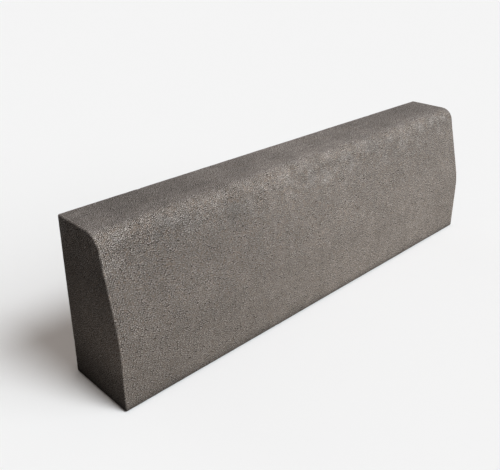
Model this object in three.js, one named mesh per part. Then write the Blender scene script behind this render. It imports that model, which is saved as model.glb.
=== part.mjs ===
// Precast concrete road kerb stone, 1000 x 300 x 150 mm, laid end to end along a carriageway.
// Millimetres, +Z up. X runs along the kerb, -Y is the road side, and the origin is the centre
// of the bed that the stone stands on.
//
// The stone is cast as one solid: a constant section swept along X, with every arris rounded
// by the mould. The section stands upright at the bed, leans back above the batter line and
// turns over a large radius, the nose, into the flat top.

import * as THREE from 'three';

// Overall sizes
const length = 1000;
const height = 300;
const bedWidth = 150;

// Road side
const uprightHeight = 130; // bed to the batter line
const batterSetback = 40; // how far the face has leaned back where it would meet the top
const batterLineRadius = 200; // eases the upright face into the batter
const noseRadius = 30; // driving-side top edge

// Arrises
const bedArrisRadius = 4;
const backArrisRadius = 4;
const endArrisRadius = 3;

// Smoothness of the rounded stretches
const sectionArcSegments = 6;
const endArcSegments = 4;

// A corner of the section before rounding: y across the kerb, z up, and its radius.
function corner(y, z, radius) {
  return { point: new THREE.Vector2(y, z), radius };
}

// Joins the corners, given anticlockwise, with straight lines and tangent arcs.
function roundedOutline(corners) {
  const outline = new THREE.Shape();
  corners.forEach(({ point, radius }, index) => {
    const before = corners.at(index - 1).point;
    const after = corners[(index + 1) % corners.length].point;
    const toBefore = before.clone().sub(point).normalize();
    const toAfter = after.clone().sub(point).normalize();
    const halfAngle = toBefore.angleTo(toAfter) / 2;
    const inward = toBefore.clone().add(toAfter).normalize();
    const centre = point.clone().addScaledVector(inward, radius / Math.sin(halfAngle));
    const reach = radius / Math.tan(halfAngle);
    const start = point.clone().addScaledVector(toBefore, reach).sub(centre);
    const end = point.clone().addScaledVector(toAfter, reach).sub(centre);
    outline.absarc(centre.x, centre.y, radius, start.angle(), end.angle(), false);
  });
  outline.closePath();
  return outline;
}

// Section across the kerb, seen from its +X end.
function kerbSection() {
  const roadSide = -bedWidth / 2;
  const backSide = bedWidth / 2;
  return roundedOutline([
    corner(roadSide, 0, bedArrisRadius),
    corner(backSide, 0, bedArrisRadius),
    corner(backSide, height, backArrisRadius),
    corner(roadSide + batterSetback, height, noseRadius),
    corner(roadSide, uprightHeight, batterLineRadius),
  ]);
}

// The section swept along X. The ends are rounded inside the stated length and section.
function kerbStone() {
  const geometry = new THREE.ExtrudeGeometry(kerbSection(), {
    depth: length - 2 * endArrisRadius,
    curveSegments: sectionArcSegments,
    bevelEnabled: true,
    bevelThickness: endArrisRadius,
    bevelSize: endArrisRadius,
    bevelOffset: -endArrisRadius,
    bevelSegments: endArcSegments,
  });
  const concrete = new THREE.MeshStandardMaterial({
    color: 0x78706a,
    roughness: 0.92,
    metalness: 0,
  });
  const stone = new THREE.Mesh(geometry, concrete);
  stone.name = 'kerb_stone';
  // Section x becomes Y, section y becomes Z, and the sweep becomes X.
  stone.rotation.set(Math.PI / 2, Math.PI / 2, 0);
  stone.position.x = endArrisRadius - length / 2;
  return stone;
}

const group = new THREE.Group();
group.add(kerbStone());

export default group;
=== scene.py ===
"""A precast concrete kerb stone on a pale studio floor.

Metres, +Z up, in the part's own frame: X runs along the kerb, -Y is the road side and the bed is at z = 0.
The CAD node is shown by one closed mesh of the same section, whose relief only ever goes inwards.
"""
import math

import bpy
import numpy as np
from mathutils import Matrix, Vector, noise


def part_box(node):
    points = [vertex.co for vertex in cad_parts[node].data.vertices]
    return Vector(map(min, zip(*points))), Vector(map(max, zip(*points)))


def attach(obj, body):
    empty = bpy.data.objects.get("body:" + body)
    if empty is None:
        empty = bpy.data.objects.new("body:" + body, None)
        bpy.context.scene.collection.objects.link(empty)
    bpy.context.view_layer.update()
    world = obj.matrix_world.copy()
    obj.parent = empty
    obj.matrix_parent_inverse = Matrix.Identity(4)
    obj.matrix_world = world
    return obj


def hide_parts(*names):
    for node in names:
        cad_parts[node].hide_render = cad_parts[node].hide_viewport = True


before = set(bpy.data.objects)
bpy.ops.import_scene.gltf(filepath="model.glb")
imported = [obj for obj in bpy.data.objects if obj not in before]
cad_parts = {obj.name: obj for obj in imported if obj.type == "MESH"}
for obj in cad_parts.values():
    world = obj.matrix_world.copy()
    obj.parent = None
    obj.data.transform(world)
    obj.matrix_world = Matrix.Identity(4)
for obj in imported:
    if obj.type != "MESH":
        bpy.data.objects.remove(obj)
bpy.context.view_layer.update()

MM = 0.001
LOW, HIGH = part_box("kerb_stone")

# The section, as the part has it
LENGTH = HIGH.x - LOW.x
HALF_LENGTH = LENGTH / 2
HEIGHT = HIGH.z
ROAD_SIDE = LOW.y
BACK_SIDE = HIGH.y
UPRIGHT_HEIGHT = 130 * MM
BATTER_SETBACK = 40 * MM
BATTER_LINE_RADIUS = 200 * MM
NOSE_RADIUS = 30 * MM
LONG_ARRIS_RADIUS = 4 * MM
END_ARRIS_RADIUS = 3 * MM

# How finely the surface is divided: cells across the bed and the top, up the sides, along the stone and
# round an end's arris, then the steps of the outline and the spacings wanted along it
CELLS_ACROSS = 44
CELLS_UP = 94
CELLS_ALONG = 296
END_ARRIS_CELLS = 5
ARC_STEPS = 32
FLAT_STEP = 1 * MM
FLAT_SPACING = 3.3 * MM
NOSE_SPACING = 2.6 * MM
ARRIS_SPACING = 1.2 * MM

# The flat map: the sweep unrolled, with the two ends laid on their sides beyond it
MAP_MARGIN = 2 * MM
END_MAP_GAP = 4 * MM
LEFT_END_ON_MAP = 10 * MM
RIGHT_END_ON_MAP = 330 * MM


# ---------------------------------------------------------------- section

def section_corners():
    """The section's corners, anticlockwise seen from +X: unrounded (y, z), radius, spacing on its arc."""
    return [
        ((ROAD_SIDE, 0.0), LONG_ARRIS_RADIUS, ARRIS_SPACING),
        ((BACK_SIDE, 0.0), LONG_ARRIS_RADIUS, ARRIS_SPACING),
        ((BACK_SIDE, HEIGHT), LONG_ARRIS_RADIUS, ARRIS_SPACING),
        ((ROAD_SIDE + BATTER_SETBACK, HEIGHT), NOSE_RADIUS, NOSE_SPACING),
        ((ROAD_SIDE, UPRIGHT_HEIGHT), BATTER_LINE_RADIUS, FLAT_SPACING),
    ]


def corner_arc(before, point, after, radius):
    """Points and outward normals along the tangent arc that rounds one corner."""
    before, point, after = Vector(before), Vector(point), Vector(after)
    to_before = (before - point).normalized()
    to_after = (after - point).normalized()
    half_angle = to_before.angle(to_after) / 2
    centre = point + (to_before + to_after).normalized() * (radius / math.sin(half_angle))
    reach = radius / math.tan(half_angle)
    start = (point + to_before * reach - centre) / radius
    turn = math.pi - 2 * half_angle
    angles = math.atan2(start.y, start.x) + np.linspace(0, turn, ARC_STEPS + 1)
    normals = np.stack([np.cos(angles), np.sin(angles)], axis=1)
    return np.array(centre) + radius * normals, normals


def dense_outline():
    """The outline as close-set points, normals and wanted spacings, and where each arc's middle falls."""
    corners = section_corners()
    points, normals, spacings, middles = [], [], [], []
    for i, (point, radius, spacing) in enumerate(corners):
        after = corners[(i + 1) % len(corners)][0]
        arc, arc_normals = corner_arc(corners[i - 1][0], point, after, radius)
        if points:
            add_flat(points, normals, spacings, arc[0], arc_normals[0])
        middles.append(len(points) + ARC_STEPS // 2)
        points.extend(arc)
        normals.extend(arc_normals)
        spacings.extend([spacing] * len(arc))
    add_flat(points, normals, spacings, points[0], normals[0])

    # The outline runs on to the middle of its first arc, so that each side lies between two middles
    middles.append(len(points) + middles[0])
    closing = middles[0] + 1
    points.extend(points[:closing])
    normals.extend(normals[:closing])
    spacings.extend(spacings[:closing])
    return (np.array(points), np.array(normals), np.array(spacings)), middles


def add_flat(points, normals, spacings, end, normal):
    """Carries the outline straight on from its last point to the next arc."""
    start = points[-1]
    steps = max(2, int(np.linalg.norm(end - start) / FLAT_STEP))
    for t in np.linspace(0, 1, steps + 1)[1:-1]:
        points.append(start + t * (end - start))
        normals.append(normal)
        spacings.append(FLAT_SPACING)


def side(outline, first, last, cells):
    """One side of the section, between the middles of two arcs, as cells + 1 points and normals."""
    points, normals, spacings = (values[first:last + 1] for values in outline)
    steps = np.linalg.norm(np.diff(points, axis=0), axis=1) / ((spacings[1:] + spacings[:-1]) / 2)
    travelled = np.concatenate([[0], np.cumsum(steps)])
    stops = np.linspace(0, travelled[-1], cells + 1)
    place = np.stack([np.interp(stops, travelled, points[:, k]) for k in (0, 1)], axis=1)
    facing = np.stack([np.interp(stops, travelled, normals[:, k]) for k in (0, 1)], axis=1)
    return place, facing / np.linalg.norm(facing, axis=1, keepdims=True)


def section_sides():
    """Bed, back, top and road side, each in the outline's order."""
    outline, middles = dense_outline()
    road_bed, back_bed, back_top, nose, _, road_bed_again = middles
    return [
        side(outline, road_bed, back_bed, CELLS_ACROSS),
        side(outline, back_bed, back_top, CELLS_UP),
        side(outline, back_top, nose, CELLS_ACROSS),
        side(outline, nose, road_bed_again, CELLS_UP),
    ]


# ---------------------------------------------------------------- surface

def ring_places():
    """Each ring of the sweep: its x, the section's inset there, and the angle its normals tip along X."""
    start = []
    for tip in np.linspace(math.pi / 2, 0, END_ARRIS_CELLS + 1):
        x = LOW.x + END_ARRIS_RADIUS * (1 - math.sin(tip))
        start.append((x, END_ARRIS_RADIUS * (1 - math.cos(tip)), -tip))
    inner = LENGTH - 2 * END_ARRIS_RADIUS
    along = [(LOW.x + END_ARRIS_RADIUS + inner * k / CELLS_ALONG, 0.0, 0.0) for k in range(1, CELLS_ALONG)]
    finish = [(-x, inset, -tip) for x, inset, tip in reversed(start)]
    return start + along + finish


def end_patch(sides, inset):
    """The flat end between the four sides: a grid of (y, z), across then up, blended from its edges."""
    bed, back, top, road = [place - facing * inset for place, facing in sides]
    top, road = top[::-1], road[::-1]
    u = np.linspace(0, 1, CELLS_ACROSS + 1)[:, None, None]
    v = np.linspace(0, 1, CELLS_UP + 1)[None, :, None]
    ruled = (1 - v) * bed[:, None] + v * top[:, None] + (1 - u) * road[None] + u * back[None]
    corners = (1 - u) * (1 - v) * bed[0] + u * (1 - v) * bed[-1] + (1 - u) * v * top[0] + u * v * top[-1]
    return ruled - corners


def loop_index_grid(first):
    """Vertex numbers of an end patch whose edge is the ring of vertices that starts at first; -1 inside."""
    grid = np.full((CELLS_ACROSS + 1, CELLS_UP + 1), -1)
    ring = first + np.arange(2 * (CELLS_ACROSS + CELLS_UP))
    bed, rest = ring[:CELLS_ACROSS], ring[CELLS_ACROSS:]
    back, rest = rest[:CELLS_UP], rest[CELLS_UP:]
    top, road = rest[:CELLS_ACROSS], rest[CELLS_ACROSS:]
    grid[:-1, 0] = bed
    grid[-1, :-1] = back
    grid[:0:-1, -1] = top
    grid[0, :0:-1] = road
    return grid


def path_length(points):
    """How far along the line of points each point is."""
    steps = np.linalg.norm(np.diff(points, axis=0), axis=1)
    return np.concatenate([[0], np.cumsum(steps)])


def swept_rings(loop, facing, rings):
    """Vertices and outward normals of the sweep, ring by ring."""
    vertices, normals = [], []
    for x, inset, tip in rings:
        vertices.append(np.column_stack([np.full(len(loop), x), loop - facing * inset]))
        normals.append(np.column_stack([np.full(len(loop), math.sin(tip)), facing * math.cos(tip)]))
    return np.vstack(vertices), np.vstack(normals)


def swept_quads(rings, round_way):
    """Quads between the rings, and each quad's corners on the flat map."""
    around = len(round_way) - 1
    long_way = path_length(np.array([[x, inset] for x, inset, _ in rings]))
    here = np.arange(around)
    after = (here + 1) % around
    v0, v1 = round_way[:-1], round_way[1:]
    quads, flat = [], []
    for i in range(len(rings) - 1):
        a, b = i * around, (i + 1) * around
        quads.append(np.stack([a + here, b + here, b + after, a + after], axis=1))
        u0, u1 = np.full(around, long_way[i]), np.full(around, long_way[i + 1])
        corners = [np.stack(corner, axis=1) for corner in ((u0, v0), (u1, v0), (u1, v1), (u0, v1))]
        flat.append(np.stack(corners, axis=1))
    return np.vstack(quads), np.vstack(flat)


def cell_corners(grid, turned):
    """What the grid holds at the four corners of each cell, in turn round the cell."""
    corners = [grid[:-1, :-1], grid[1:, :-1], grid[1:, 1:], grid[:-1, 1:]]
    return corners[::-1] if turned else corners


def stone_surface():
    """Vertices, outward normals, quads, and each quad's corners on the flat map, in metres."""
    sides = section_sides()
    loop = np.concatenate([place[:-1] for place, _ in sides])
    facing = np.concatenate([normals[:-1] for _, normals in sides])
    rings = ring_places()
    round_way = path_length(np.vstack([loop, loop[:1]]))
    vertices, normals = swept_rings(loop, facing, rings)
    quads, flat = swept_quads(rings, round_way)

    patch = end_patch(sides, END_ARRIS_RADIUS)
    past_sweep = round_way[-1] + END_MAP_GAP - ROAD_SIDE
    last_ring = len(vertices) - len(loop)
    for end, first, along_map in ((-1, 0, LEFT_END_ON_MAP), (1, last_ring, RIGHT_END_ON_MAP)):
        grid = loop_index_grid(first)
        inside = grid < 0
        count = int(inside.sum())
        grid[inside] = len(vertices) + np.arange(count)
        vertices = np.vstack([vertices, np.column_stack([np.full(count, end * HALF_LENGTH), patch[inside]])])
        normals = np.vstack([normals, np.tile([float(end), 0.0, 0.0], (count, 1))])
        corners = cell_corners(grid, end < 0)
        spots = cell_corners(patch, end < 0)
        on_map = np.array([along_map, past_sweep])
        quads = np.vstack([quads, np.stack([c.ravel() for c in corners], axis=1)])
        flat = np.vstack([flat, np.stack([s.reshape(-1, 2)[:, ::-1] + on_map for s in spots], axis=1)])
    return vertices, normals, quads, flat


# ---------------------------------------------------------------- relief

# Half the depth that each noise reaches, and the size of its features
WAVE_DEPTH = 0.22 * MM
WAVE_SIZE = 110 * MM
RIPPLE_DEPTH = 0.06 * MM
RIPPLE_SIZE = 17 * MM
WEAR_DEPTH = 0.15 * MM
WEAR_SIZE = 9 * MM

# Chips are where their noise passes a threshold. They and the wear fade away from the arrises.
CHIP_DEPTH = 1.8 * MM
CHIP_SIZE = 16 * MM
CHIP_THRESHOLD = 0.5
CHIP_LIMIT = 0.6
WEAR_REACH = 5 * MM

# How far apart the noises of two seeds are read, and a noise's octaves: their fading, scaling and number
SEED_STEPS = (7.31, 3.77, 5.13)
OCTAVES = (1.0, 2.0, 2)


def edge_distance(vertices):
    """How far each vertex is from the nearest arris. The nose, between top and road side, isn't one."""
    x, y, z = vertices.T
    lean = math.atan2(BATTER_SETBACK, HEIGHT - UPRIGHT_HEIGHT)
    upright = y - ROAD_SIDE
    batter = upright * math.cos(lean) - (z - UPRIGHT_HEIGHT) * math.sin(lean)
    road = np.minimum(upright, batter)
    ends = HALF_LENGTH - np.abs(x)
    across = np.stack([z, BACK_SIDE - y, HEIGHT - z, road], axis=1)
    top_column, road_column = 2, 3
    nearest = np.sort(across, axis=1)
    nearest_two = np.sort(np.argsort(across, axis=1)[:, :2], axis=1)
    by_nose = (nearest_two == (top_column, road_column)).all(axis=1)
    second = np.where(by_nose, nearest[:, 2], nearest[:, 1])
    long_edges = np.hypot(nearest[:, 0], second)
    end_edges = np.hypot(ends, nearest[:, 0])
    return np.minimum(long_edges, end_edges)


def field(vertices, size, seed):
    """Smooth noise of about -1 to 1 with features of that size, read at each vertex."""
    offset = Vector([seed * step for step in SEED_STEPS])
    places = [Vector(vertex) / size + offset for vertex in vertices]
    return np.array([noise.fractal(place, *OCTAVES) for place in places])


def swell(vertices, depth, size, seed):
    """Noise from 0 to twice that depth."""
    return depth * (1 + np.clip(field(vertices, size, seed), -1, 1))


def relief(vertices):
    """How deep each vertex lies below the mould's face: waves, ripple, and wear and chips at the arrises."""
    waves = swell(vertices, WAVE_DEPTH, WAVE_SIZE, seed=1)
    ripple = swell(vertices, RIPPLE_DEPTH, RIPPLE_SIZE, seed=2)
    wear = swell(vertices, WEAR_DEPTH, WEAR_SIZE, seed=3)
    chips = CHIP_DEPTH * np.clip(field(vertices, CHIP_SIZE, seed=4) - CHIP_THRESHOLD, 0, CHIP_LIMIT)
    near_edge = np.exp(-(edge_distance(vertices) / WEAR_REACH) ** 2)
    return waves + ripple + near_edge * (wear + chips)


# ---------------------------------------------------------------- soft patches

# Centre and radius in metres, and how much paler (+) or darker (-) the skin is there; each part from the left
PATCHES = [
    # Nose: the paler patches are partly dust and partly painted highlight
    ((-0.490, -0.040, 0.290), 0.035, 0.15),
    ((-0.410, -0.034, 0.290), 0.016, 0.20),
    ((-0.390, -0.050, 0.275), 0.032, -0.14),
    ((-0.330, -0.055, 0.250), 0.040, -0.07),
    ((-0.270, -0.040, 0.289), 0.028, 0.23),
    ((-0.230, -0.050, 0.263), 0.030, -0.21),
    ((-0.205, -0.042, 0.281), 0.031, 0.21),
    ((-0.170, -0.022, 0.300), 0.050, -0.06),
    ((-0.150, -0.046, 0.281), 0.031, 0.23),
    ((-0.090, -0.056, 0.255), 0.040, 0.08),
    ((-0.080, -0.049, 0.281), 0.028, 0.22),
    ((-0.070, -0.030, 0.295), 0.026, -0.15),
    ((0.000, -0.060, 0.250), 0.028, 0.10),
    ((0.000, -0.031, 0.294), 0.028, -0.15),
    ((0.070, -0.040, 0.288), 0.026, 0.11),
    ((0.120, -0.022, 0.298), 0.032, -0.13),
    ((0.125, -0.040, 0.287), 0.022, 0.13),
    ((0.180, -0.034, 0.292), 0.026, -0.16),
    ((0.270, -0.052, 0.265), 0.020, -0.08),
    ((0.290, -0.047, 0.285), 0.034, 0.10),
    ((0.380, -0.047, 0.285), 0.028, 0.06),
    ((0.420, -0.042, 0.293), 0.020, -0.10),
    # Road face
    ((-0.450, -0.073, 0.090), 0.060, 0.04),
    ((-0.430, -0.075, 0.020), 0.080, -0.09),
    ((-0.370, -0.058, 0.230), 0.028, -0.06),
    ((-0.280, -0.075, 0.060), 0.050, -0.05),
    ((-0.120, -0.066, 0.180), 0.060, -0.04),
    ((0.210, -0.062, 0.190), 0.035, 0.06),
    ((0.280, -0.060, 0.230), 0.045, -0.05),
    ((0.320, -0.074, 0.075), 0.110, 0.10),
    ((0.440, -0.069, 0.160), 0.035, 0.06),
    # Top
    ((-0.450, -0.004, 0.300), 0.024, 0.08),
    ((-0.420, 0.050, 0.300), 0.060, -0.06),
    ((-0.400, -0.004, 0.300), 0.024, 0.08),
    ((-0.300, -0.002, 0.300), 0.030, 0.06),
    ((-0.200, -0.004, 0.300), 0.030, 0.02),
    ((-0.080, -0.010, 0.300), 0.030, 0.07),
    ((0.000, -0.008, 0.300), 0.040, 0.14),
    ((0.250, 0.020, 0.300), 0.060, -0.05),
    ((0.430, 0.020, 0.300), 0.080, -0.08),
]


def soft_patches(vertices):
    """How much paler (+) or darker (-) the soft patches make each vertex. On the nose the paler ones are
    partly painted highlight.
    """
    total = np.zeros(len(vertices))
    for centre, radius, gain in PATCHES:
        away = np.linalg.norm(vertices - np.array(centre), axis=1)
        total += gain * np.exp(-(away / radius) ** 2)
    return total


# ---------------------------------------------------------------- piece

def keep_flat_map(mesh, flat):
    """Keeps the flat map in metres, for the grain, and fitted to the unit square, for baking."""
    corners = flat.reshape(-1, 2)
    places = np.column_stack([corners, np.zeros(len(corners))])
    unrolled = mesh.attributes.new("unrolled", "FLOAT_VECTOR", "CORNER")
    unrolled.data.foreach_set("vector", places.astype(np.float32).ravel())
    fitted = (corners + MAP_MARGIN) / (corners.max() + 2 * MAP_MARGIN)
    baked = mesh.uv_layers.new(name="OFBake")
    baked.data.foreach_set("uv", fitted.astype(np.float32).ravel())


def kerb_stone():
    """The stone as one closed mesh, with its soft patches, partly painted highlight, and flat map kept on it
    for the material.
    """
    vertices, normals, quads, flat = stone_surface()
    vertices = vertices - normals * relief(vertices)[:, None]
    mesh = bpy.data.meshes.new("kerb_stone_cast")
    mesh.from_pydata(vertices.tolist(), [], quads.tolist())
    mesh.shade_smooth()
    patch_tone_and_highlight = mesh.attributes.new("patch_tone_and_highlight", "FLOAT", "POINT")
    patch_tone_and_highlight.data.foreach_set("value", soft_patches(vertices).astype(np.float32))
    keep_flat_map(mesh, flat)
    mesh.update()
    mesh.validate()
    stone = bpy.data.objects.new("kerb_stone_cast", mesh)
    bpy.context.scene.collection.objects.link(stone)
    return stone


# ---------------------------------------------------------------- nodes

def new_material(name):
    """A new material and its node tree."""
    material = bpy.data.materials.new(name)
    material.use_nodes = True
    return material, material.node_tree


def add_node(tree, kind, settings=None, **inputs):
    """A node with its settings. Inputs are values or sockets, by name, or by number as _0, _1 and so on."""
    node = tree.nodes.new(kind)
    for name, value in (settings or {}).items():
        setattr(node, name, value)
    for name, value in inputs.items():
        key = int(name[1:]) if name[0] == "_" else name.replace("_", " ")
        if isinstance(value, bpy.types.NodeSocket):
            tree.links.new(value, node.inputs[key])
        else:
            node.inputs[key].default_value = value
    return node


def math_node(tree, operation, *values):
    """A Math node; its values are numbers or sockets."""
    inputs = {f"_{i}": value for i, value in enumerate(values)}
    return add_node(tree, "ShaderNodeMath", {"operation": operation}, **inputs).outputs[0]


def remap(tree, value, low, high, to_low=0.0, to_high=1.0, kind="SMOOTHSTEP"):
    """value from low..high to to_low..to_high, held at both ends."""
    settings = {"interpolation_type": kind}
    inputs = {"Value": value, "From_Min": low, "From_Max": high, "To_Min": to_low, "To_Max": to_high}
    return add_node(tree, "ShaderNodeMapRange", settings, **inputs).outputs["Result"]


def between(tree, share, at_none, at_full):
    """From one value to the other as share goes from 0 to 1."""
    return remap(tree, share, 0.0, 1.0, at_none, at_full, "LINEAR")


def mix_colour(tree, amount, first, second):
    """first towards second by amount; colours are sockets or linear RGB."""
    # The Mix node's colours are its inputs 6 and 7 and its output 2
    first, second = ((*value, 1.0) if isinstance(value, tuple) else value for value in (first, second))
    return add_node(tree, "ShaderNodeMix", {"data_type": "RGBA"}, _0=amount, _6=first, _7=second).outputs[2]


def noise_at(tree, place, size, detail=2.0, roughness=0.5, distortion=0.0):
    """Fractal noise, 0 to 1, with features of about that size."""
    inputs = {"Detail": detail, "Roughness": roughness, "Distortion": distortion}
    return add_node(tree, "ShaderNodeTexNoise", None, Vector=place, Scale=1 / size, **inputs).outputs[0]


def product(tree, first, *others):
    """All the values multiplied together."""
    for value in others:
        first = math_node(tree, "MULTIPLY", first, value)
    return first


def blend(tree, share, factor):
    """A factor that counts fully where share is 1 and not at all where it is 0."""
    return math_node(tree, "MULTIPLY_ADD", math_node(tree, "SUBTRACT", factor, 1.0), share, 1.0)


def attribute(tree, name, output="Fac"):
    """What the mesh keeps by that name, read at each point: a number, or with output Vector a vector."""
    return add_node(tree, "ShaderNodeAttribute", {"attribute_name": name}).outputs[output]


def object_place(tree):
    """The point being shaded, in the part's frame, and its x, y and z."""
    point = tree.nodes.new("ShaderNodeTexCoord").outputs["Object"]
    return point, *add_node(tree, "ShaderNodeSeparateXYZ", None, Vector=point).outputs


# ---------------------------------------------------------------- concrete

# Sizes of the noises in the skin's tone
BLOTCH_SIZE = 75 * MM
MOTTLE_SIZE = 26 * MM
WISP_SIZE = 11 * MM
STREAK_SIZE = 9 * MM
STREAK_STRETCH = (0.12, 1.0, 1.0)  # draws them out along the stone

# How the parts of the skin fade in: the top and the painted shade at the foot with an edge that the mottle
# makes ragged, the nose with height, the left along X, and the ends with the distance from them
RAGGED_TOP = 12 * MM
TOP_FADE = 6.5 * MM
RAGGED_FOOT = 20 * MM
NOSE_FADE = (0.21, 0.285)
LEFT_FADE = (-0.42, -0.15)
END_FADE = (2.5 * MM, 0.5 * MM)

# Ramps of tone: along what, from where to where, and the factor before and after.
# Places are in metres in the part's frame, and the noises run from 0 to 1.
FACE_RAMPS = [
    ("along", -0.50, 0.10, 0.796, 1.068),  # painted shade: darker to the left
    ("along", 0.04, 0.30, 1.0, 0.938),
    ("up", 0.03, 0.08, 0.955, 1.0),
    ("up", 0.085, 0.165, 1.21, 1.035),  # painted light: the upright part is paler than the batter, in place of light the floor throws up onto it
    ("up", 0.245, 0.292, 1.0, 0.922),  # the nose darkens as it turns over
    ("up", 0.2905, 0.2965, 1.0, 0.945),
    ("blotches", 0.3, 0.7, 0.94, 1.06),
    ("mottle", 0.35, 0.65, 0.97, 1.03),
    ("wisps", 0.38, 0.66, 0.955, 1.06),
]
NOSE_RAMPS = [
    ("wisps", 0.44, 0.62, 0.95, 1.10),
]
# Painted shade at the foot, where the stone meets the floor
FOOT_SHADE_RAMPS = [
    ("ragged_up", 0.008, 0.036, 0.66, 1.0),  # painted shade at the foot, its edge made ragged
    ("up", 0.001, 0.013, 0.8, 1.0),
]
TOP_RAMPS = [
    ("streaks", 0.35, 0.65, 0.94, 1.06),  # drawn along its length
    ("blotches", 0.42, 0.58, 0.93, 1.01),
    ("across", -0.004, 0.012, 1.05, 0.95),  # darker to the back
    ("along", 0.02, 0.30, 1.0, 0.90),
    ("along", -0.35, -0.12, 0.95, 1.0),
]
# Painted shade and light on the ends: darker at the foot and near the top
END_SHADE_RAMPS = [
    ("up", 0.0, 0.12, 0.36, 1.0),
    ("up", 0.14, 0.24, 1.0, 0.75),
]
END_LOW_HALF = (0.15, 0.24)  # the heights over which it fades out
END_LIGHT_TO_ROAD = (0.060, -0.065, 0.84, 1.26)  # painted light: in the low half, paler from the back to the road side
PATCH_BREAKING = (0.38, 0.62, 0.6, 1.4)  # how the mottle breaks up the soft patches

# The sand: its sizes, and from where to where in its noise it goes from how dark to how light
COARSE_SAND = 2.8 * MM
FINE_SAND = 0.8 * MM
COARSE_SHADES = (0.2, 0.8, -0.62, 1.20)
FINE_SHADES = (0.4, 0.6, -0.20, 0.26)
GRAIN_RIM = 0.4  # the share of a cell where a grain meets its rim
RIM_LIMIT = -0.8  # no rim stands out more than this share of its grain
COARSE_HEIGHT = 0.15  # the coarse grains' height, as a share of the fine ones'
DARKEST_SPECK = 0.34  # no speck is darker than this share of the skin

# How far the grain stands out: along the stone, on its parts, on the nose from right to left, and on the
# ends from left to right
GRAIN_RAMPS = [
    ("along", -0.2, 0.35, 1.08, 1.65),
]
GRAIN_ON_TOP = 1.25
GRAIN_AT_LEFT = 1.14
GRAIN_ON_NOSE = (1.1, 1.4)
GRAIN_ON_ENDS = (1.4, 0.82)

# The cement's colours in linear RGB, before the tone is laid over them, and how each is mixed in
GREY_CEMENT = (0.2103, 0.1791, 0.1542)
BROWN_CEMENT = (0.2403, 0.1811, 0.1372)
BROWN_TINTS = (0.5, 1.0)
LOW_CEMENT = (0.2203, 0.1773, 0.1430)
LOW_CEMENT_FADE = (0.0, 0.26)
TOP_CEMENT = (0.189, 0.162, 0.1465)
DUST = (0.1995, 0.183, 0.169)
DUST_FADE = (0.46, 0.62)
DUST_SHARE = 0.65
DARK_GRAIN = (0.222, 0.179, 0.148)
DARK_GRAIN_SHARE = (-0.5, 0.0, 0.8, 0.0)
PALE_GRAIN = (0.1938, 0.184, 0.1752)
PALE_GRAIN_SHARE = (0.0, 0.5, 0.0, 0.68)

# The painted highlight round each end, where its arris catches the light: its distances from the end, its
# height over the foot and how it is broken
RIM_HIGHLIGHT_STARTS = (4.5 * MM, 2.8 * MM)
RIM_HIGHLIGHT_STOPS = (0.6 * MM, 1.8 * MM)
RIM_HIGHLIGHT_FOOT = (0.01, 0.03)
RIM_HIGHLIGHT_SIZE = 5 * MM
RIM_HIGHLIGHT_BREAKING = (0.42, 0.58)

# How much lighter dust and the painted rim highlight make the skin, and its shine, which is rougher in dark
# grains
DUST_GAIN = 1.12
RIM_HIGHLIGHT_GAIN = 1.5
SPECULAR = 0.3
ROUGHNESS = (-0.5, 0.6, 0.97, 0.8)

# Relief too fine for the mesh
SAND_RELIEF = 0.28 * MM
SAND_STRENGTH = (0.9, 0.4)  # off the top and on it
LUMP_RELIEF = 0.8 * MM
LUMP_SIZE = 7 * MM


def skin_places(tree):
    """Where each point of the skin is, the noises there, and how far it belongs to each part."""
    point, along, across, up = object_place(tree)
    from_end = math_node(tree, "SUBTRACT", HALF_LENGTH, math_node(tree, "ABSOLUTE", along))
    mottle = noise_at(tree, point, MOTTLE_SIZE, detail=4.0, roughness=0.6)
    ragged_top = math_node(tree, "MULTIPLY_ADD", mottle, RAGGED_TOP, up)
    top = remap(tree, ragged_top, HEIGHT, HEIGHT + TOP_FADE)
    drawn = add_node(tree, "ShaderNodeVectorMath", {"operation": "MULTIPLY"}, _0=point, _1=STREAK_STRETCH)
    return {
        "point": point,
        "unrolled": attribute(tree, "unrolled", "Vector"),
        "along": along,
        "from_end": from_end,
        "across": across,
        "up": up,
        "ragged_up": math_node(tree, "MULTIPLY_ADD", mottle, RAGGED_FOOT, up),
        "blotches": noise_at(tree, point, BLOTCH_SIZE, detail=4.0, roughness=0.55),
        "mottle": mottle,
        "wisps": noise_at(tree, point, WISP_SIZE, detail=3.0, distortion=1.2),
        "streaks": noise_at(tree, drawn.outputs[0], STREAK_SIZE, detail=3.0),
        "end": remap(tree, from_end, *END_FADE),
        "left": remap(tree, along, *LEFT_FADE, 1.0, 0.0),
        "top": top,
        "nose": product(tree, remap(tree, up, *NOSE_FADE), between(tree, top, 1.0, 0.0)),
    }


def ramps(tree, skin, rows):
    """The product of a list of ramps, each read where its row says."""
    return product(tree, *(remap(tree, skin[of], *ramp) for of, *ramp in rows))


def face_tone(tree, skin):
    """How light the skin of the faces is from place to place, before its grain, painted light and shade
    included.
    """
    patch_tone_and_highlight = product(tree, attribute(tree, "patch_tone_and_highlight"), remap(tree, skin["mottle"], *PATCH_BREAKING))
    return product(
        tree,
        ramps(tree, skin, FACE_RAMPS),
        blend(tree, skin["nose"], ramps(tree, skin, NOSE_RAMPS)),
        ramps(tree, skin, FOOT_SHADE_RAMPS),
        math_node(tree, "ADD", patch_tone_and_highlight, 1.0),
        blend(tree, skin["top"], ramps(tree, skin, TOP_RAMPS)),
        blend(tree, skin["end"], painted_end_shading(tree, skin)),
    )


def painted_end_shading(tree, skin):
    """Painted shade and light on the ends: darker at the foot and near the top, and paler low down towards
    the road side.
    """
    low_half = remap(tree, skin["up"], *END_LOW_HALF, 1.0, 0.0)
    to_road = remap(tree, skin["across"], *END_LIGHT_TO_ROAD, "LINEAR")
    return product(tree, ramps(tree, skin, END_SHADE_RAMPS), blend(tree, low_half, to_road))


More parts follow.
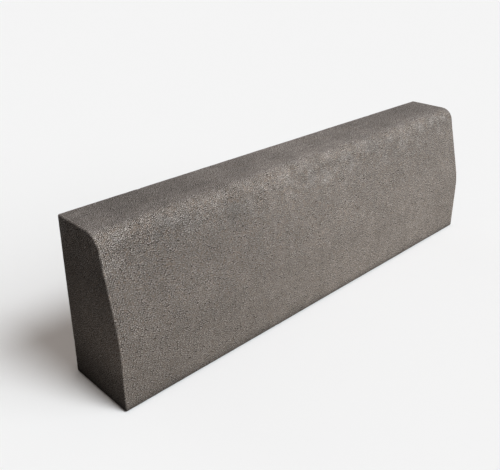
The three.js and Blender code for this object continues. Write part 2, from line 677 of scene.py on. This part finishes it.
def sand_grains(tree, skin):
    """The sand in the skin: how light each grain is, its height, and the tint of the coarser grains."""
    fine = add_node(tree, "ShaderNodeTexVoronoi", None, Vector=skin["point"], Scale=1 / FINE_SAND)
    fine_colour = add_node(tree, "ShaderNodeSeparateColor", None, Color=fine.outputs["Color"])
    fine_shade, _, fine_height = fine_colour.outputs
    on_map = {"voronoi_dimensions": "2D"}
    coarse = add_node(tree, "ShaderNodeTexVoronoi", on_map, Vector=skin["unrolled"], Scale=1 / COARSE_SAND)
    coarse_colour = add_node(tree, "ShaderNodeSeparateColor", None, Color=coarse.outputs["Color"])
    shade, tint, coarse_height = coarse_colour.outputs

    # A grain is lighter or darker than the skin, and its rim is the opposite
    from_centre = product(tree, coarse.outputs["Distance"], coarse.outputs["Distance"])
    rim = math_node(tree, "MULTIPLY_ADD", from_centre, -1 / GRAIN_RIM ** 2, 1.0)
    rim = math_node(tree, "MAXIMUM", rim, RIM_LIMIT)
    grain = product(tree, remap(tree, shade, *COARSE_SHADES), rim)
    light = math_node(tree, "ADD", grain, remap(tree, fine_shade, *FINE_SHADES))
    height = math_node(tree, "MULTIPLY_ADD", coarse_height, COARSE_HEIGHT, fine_height)
    return light, height, tint


def grain_strength(tree, skin):
    """How far the grain stands out. It grows to the right, where the photograph's view shrinks it."""
    nose_gain = between(tree, skin["left"], *GRAIN_ON_NOSE)
    end_gain = remap(tree, skin["along"], -HALF_LENGTH, HALF_LENGTH, *GRAIN_ON_ENDS, "LINEAR")
    return product(
        tree,
        ramps(tree, skin, GRAIN_RAMPS),
        blend(tree, skin["top"], GRAIN_ON_TOP),
        blend(tree, skin["nose"], nose_gain),
        blend(tree, skin["left"], GRAIN_AT_LEFT),
        blend(tree, skin["end"], end_gain),
    )


def skin_colour(tree, skin, dusty, light, tint):
    """The cement's own colour, without its tone.

    It is warm low down, greyer on the top, in dust and in pale grains, and browner in dark grains.
    """
    body = mix_colour(tree, remap(tree, tint, *BROWN_TINTS), GREY_CEMENT, BROWN_CEMENT)
    body = mix_colour(tree, remap(tree, skin["up"], *LOW_CEMENT_FADE), LOW_CEMENT, body)
    body = mix_colour(tree, product(tree, dusty, DUST_SHARE), body, DUST)
    body = mix_colour(tree, skin["top"], body, TOP_CEMENT)
    body = mix_colour(tree, remap(tree, light, *DARK_GRAIN_SHARE), body, DARK_GRAIN)
    return mix_colour(tree, remap(tree, light, *PALE_GRAIN_SHARE), body, PALE_GRAIN)


def painted_rim_highlights(tree, skin):
    """A painted highlight: a broken pale line round each end, just inside its arris, where the arris catches
    the light.
    """
    starts = remap(tree, skin["from_end"], *RIM_HIGHLIGHT_STARTS)
    stops = remap(tree, skin["from_end"], *RIM_HIGHLIGHT_STOPS)
    above_foot = remap(tree, skin["up"], *RIM_HIGHLIGHT_FOOT)
    broken = remap(tree, noise_at(tree, skin["point"], RIM_HIGHLIGHT_SIZE), *RIM_HIGHLIGHT_BREAKING)
    return product(tree, starts, stops, above_foot, broken)


def skin_normal(tree, skin, height):
    """The relief too fine for the mesh: the sand, which is lower on the top, and soft lumps."""
    strength = between(tree, skin["top"], *SAND_STRENGTH)
    sand = add_node(tree, "ShaderNodeBump", None, Strength=strength, Height=height, Distance=SAND_RELIEF)
    lumps = noise_at(tree, skin["point"], LUMP_SIZE, detail=3.0, roughness=0.6)
    bumpy = add_node(tree, "ShaderNodeBump", None, Height=lumps, Distance=LUMP_RELIEF, Normal=sand.outputs[0])
    return bumpy.outputs[0]


def concrete():
    """Vibro-pressed concrete: sandy skin, mottled tone, smoother darker top, painted light and shade on the
    faces, painted highlights along the arrises at the ends.
    """
    material, tree = new_material("concrete_sandy_grey")
    shader = tree.nodes["Principled BSDF"]
    skin = skin_places(tree)
    light, height, tint = sand_grains(tree, skin)

    # Pale dust that the sandy skin holds along the nose
    dusty = product(tree, skin["nose"], remap(tree, skin["mottle"], *DUST_FADE))
    speckle = math_node(tree, "MULTIPLY_ADD", light, grain_strength(tree, skin), 1.0)
    tone = product(
        tree,
        face_tone(tree, skin),
        between(tree, dusty, 1.0, DUST_GAIN),
        between(tree, painted_rim_highlights(tree, skin), 1.0, RIM_HIGHLIGHT_GAIN),
        math_node(tree, "MAXIMUM", speckle, DARKEST_SPECK),
    )
    colour = skin_colour(tree, skin, dusty, light, tint)
    shaded = add_node(tree, "ShaderNodeVectorMath", {"operation": "SCALE"}, _0=colour, Scale=tone)
    tree.links.new(shaded.outputs[0], shader.inputs["Base Color"])
    tree.links.new(remap(tree, light, *ROUGHNESS, "LINEAR"), shader.inputs["Roughness"])
    tree.links.new(skin_normal(tree, skin, height), shader.inputs["Normal"])
    shader.inputs["Specular IOR Level"].default_value = SPECULAR
    return material


# ---------------------------------------------------------------- floor

# The floor as the camera sees it, the same where the stone lights it, and as bounced light meets it
FLOOR_HALF_WIDTH = 20.0
FLOOR_SEEN = (0.9, 0.9, 0.9)
FLOOR_NEAR_STONE = (0.851, 0.850, 0.853)
FLOOR_IN_BOUNCES = (0.2, 0.2, 0.2)

# The stone's light on the floor: how far it reaches, how far from the middle of the stone's length it fades,
# and the nearest distance that counts
STONE_LIGHT_REACH = 0.24
STONE_LIGHT_ENDS = (0.35, 0.62)
STONE_LIGHT_NEAREST = 1 * MM


def stone_light(tree):
    """How strongly the road side of the stone lights the floor in front of it, 0 to 1."""
    _, along, across, _ = object_place(tree)
    from_middle = math_node(tree, "ABSOLUTE", along)
    past_end = math_node(tree, "SUBTRACT", from_middle, HALF_LENGTH)
    past_end = math_node(tree, "MAXIMUM", past_end, 0.0)
    in_front = math_node(tree, "SUBTRACT", ROAD_SIDE, across)
    in_front = math_node(tree, "MAXIMUM", in_front, STONE_LIGHT_NEAREST)
    squares = math_node(tree, "ADD", product(tree, past_end, past_end), product(tree, in_front, in_front))
    away = math_node(tree, "SQRT", squares)
    fading = math_node(tree, "EXPONENT", product(tree, away, -1 / STONE_LIGHT_REACH))
    lit_side = math_node(tree, "LESS_THAN", across, ROAD_SIDE)
    towards_ends = remap(tree, from_middle, *STONE_LIGHT_ENDS, 1.0, 0.0)
    return product(tree, fading, math_node(tree, "DIVIDE", in_front, away), lit_side, towards_ends)


def pale_floor():
    """Near white to the camera, and dark to bounced light, so that it doesn't light the stone from below.

    Its seen colour is a little darker where the stone throws light on it, which the photograph doesn't show.
    """
    material, tree = new_material("floor_pale")
    shader = tree.nodes["Principled BSDF"]
    camera_ray = tree.nodes.new("ShaderNodeLightPath").outputs["Is Camera Ray"]
    seen = mix_colour(tree, stone_light(tree), FLOOR_SEEN, FLOOR_NEAR_STONE)
    colour = mix_colour(tree, camera_ray, FLOOR_IN_BOUNCES, seen)
    tree.links.new(colour, shader.inputs["Base Color"])
    shader.inputs["Roughness"].default_value = 1.0
    shader.inputs["Specular IOR Level"].default_value = 0.0
    return material


def add_floor():
    """A level square at z = 0, far wider than the picture."""
    half = FLOOR_HALF_WIDTH
    corners = [(-half, -half, 0), (half, -half, 0), (half, half, 0), (-half, half, 0)]
    mesh = bpy.data.meshes.new("floor")
    mesh.from_pydata(corners, [], [(0, 1, 2, 3)])
    mesh.materials.append(pale_floor())
    floor = bpy.data.objects.new("floor", mesh)
    bpy.context.scene.collection.objects.link(floor)
    return floor


# ---------------------------------------------------------------- light and camera

# The soft suns: azimuth from +X towards +Y, elevation and spread in degrees, then their share of the floor's
# light and their warmth. The world's light has the last two.
SUNS = {
    "key": (-72.3, 54.5, 23.6, 0.496, -0.033),
    "low_key": (-62.2, 31.3, 49, 0.225, -0.03),
    "overhead": (3, 89, 10.3, 0.148, 0.08),
}
WORLD_SHARE = 0.142
WORLD_WARMTH = 0.08
WARM_TINT = (1.3, 0.0, -0.9)  # how far warmth moves red, green and blue

# The photograph's camera, in pixels of its frame
FRAME_WIDTH = 500
FRAME_HEIGHT = 470
FOCAL_LENGTH_PX = 644.2
PRINCIPAL_POINT_PX = (250.0, 203.5)
CAMERA_PLACE = (-0.9222, -0.7901, 0.7144)
CAMERA_PITCH = math.radians(23.486)
CAMERA_YAW = math.radians(44.264)
SENSOR_MM = 36.0


def tinted(level, warmth):
    """Light of that level, warm (+) or cool (-)."""
    return tuple(level * (1 + warmth * tint) for tint in WARM_TINT)


def add_sun(name, azimuth, elevation, spread, share, warmth):
    """A soft sun that gives the floor that share of full light. Angles are in degrees."""
    light = bpy.data.lights.new(name, "SUN")
    light.color = tinted(1.0, warmth)
    light.angle = math.radians(spread)
    light.energy = math.pi * share / math.sin(math.radians(elevation))
    sun = bpy.data.objects.new(name, light)
    a, e = math.radians(azimuth), math.radians(elevation)
    towards = Vector((math.cos(e) * math.cos(a), math.cos(e) * math.sin(a), math.sin(e)))
    sun.rotation_euler = towards.to_track_quat("Z", "Y").to_euler()
    bpy.context.scene.collection.objects.link(sun)


def add_world(share, warmth):
    """Even light from all round, and the floor's own colour where the camera sees past the floor."""
    world = bpy.data.worlds.new("studio")
    world.use_nodes = True
    tree = world.node_tree
    camera_ray = tree.nodes.new("ShaderNodeLightPath").outputs["Is Camera Ray"]
    colour = mix_colour(tree, camera_ray, tinted(share, warmth), FLOOR_SEEN)
    tree.links.new(colour, tree.nodes["Background"].inputs["Color"])
    bpy.context.scene.world = world


def add_camera():
    """The photograph's camera: its lens and principal point, without roll, to the left of the stone."""
    data = bpy.data.cameras.new("camera")
    data.sensor_width = SENSOR_MM
    data.lens = FOCAL_LENGTH_PX * SENSOR_MM / FRAME_WIDTH
    data.shift_x = (FRAME_WIDTH / 2 - PRINCIPAL_POINT_PX[0]) / FRAME_WIDTH
    data.shift_y = (PRINCIPAL_POINT_PX[1] - FRAME_HEIGHT / 2) / FRAME_WIDTH
    camera = bpy.data.objects.new("camera", data)
    camera.location = CAMERA_PLACE
    camera.rotation_euler = (math.pi / 2 - CAMERA_PITCH, 0.0, -CAMERA_YAW)
    bpy.context.scene.collection.objects.link(camera)
    bpy.context.scene.camera = camera


# ---------------------------------------------------------------- scene

add_camera()
for name, sun in SUNS.items():
    add_sun(name, *sun)
add_world(WORLD_SHARE, WORLD_WARMTH)
add_floor()

stone = kerb_stone()
stone.data.materials.append(concrete())
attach(stone, "root")
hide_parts("kerb_stone")

bpy.context.scene.view_settings.view_transform = "Standard"
